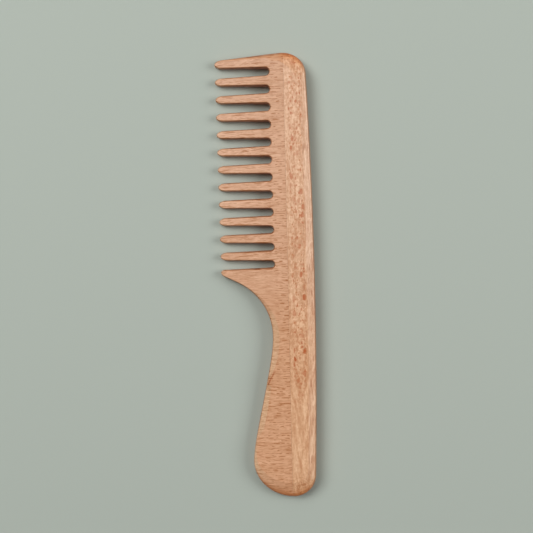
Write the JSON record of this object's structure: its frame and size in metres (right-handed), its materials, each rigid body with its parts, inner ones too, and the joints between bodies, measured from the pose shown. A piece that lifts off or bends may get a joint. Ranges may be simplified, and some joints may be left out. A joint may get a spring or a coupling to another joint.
{
  "type": "comb",
  "caption": "Wide-tooth wooden comb with a shaped handle, a cross-grained tooth board tongued into a rounded long-grained spine.",
  "frame": {"origin": "middle of the comb's outline, on the plane that its flat rear face rests on", "axes": "+Y from the foot of the handle to the head, +X from the tips of the teeth to the back, +Z out of the front face"},
  "size_m": [0.0408, 0.1908, 0.009],
  "materials": {
    "board_wood": "oiled beech, grain along the teeth, satin",
    "spine_wood": "oiled beech, grain along the comb, satin"
  },
  "bodies": {
    "root": {"tooth_board": "board_wood", "spine": "spine_wood"}
  },
  "joints": []
}
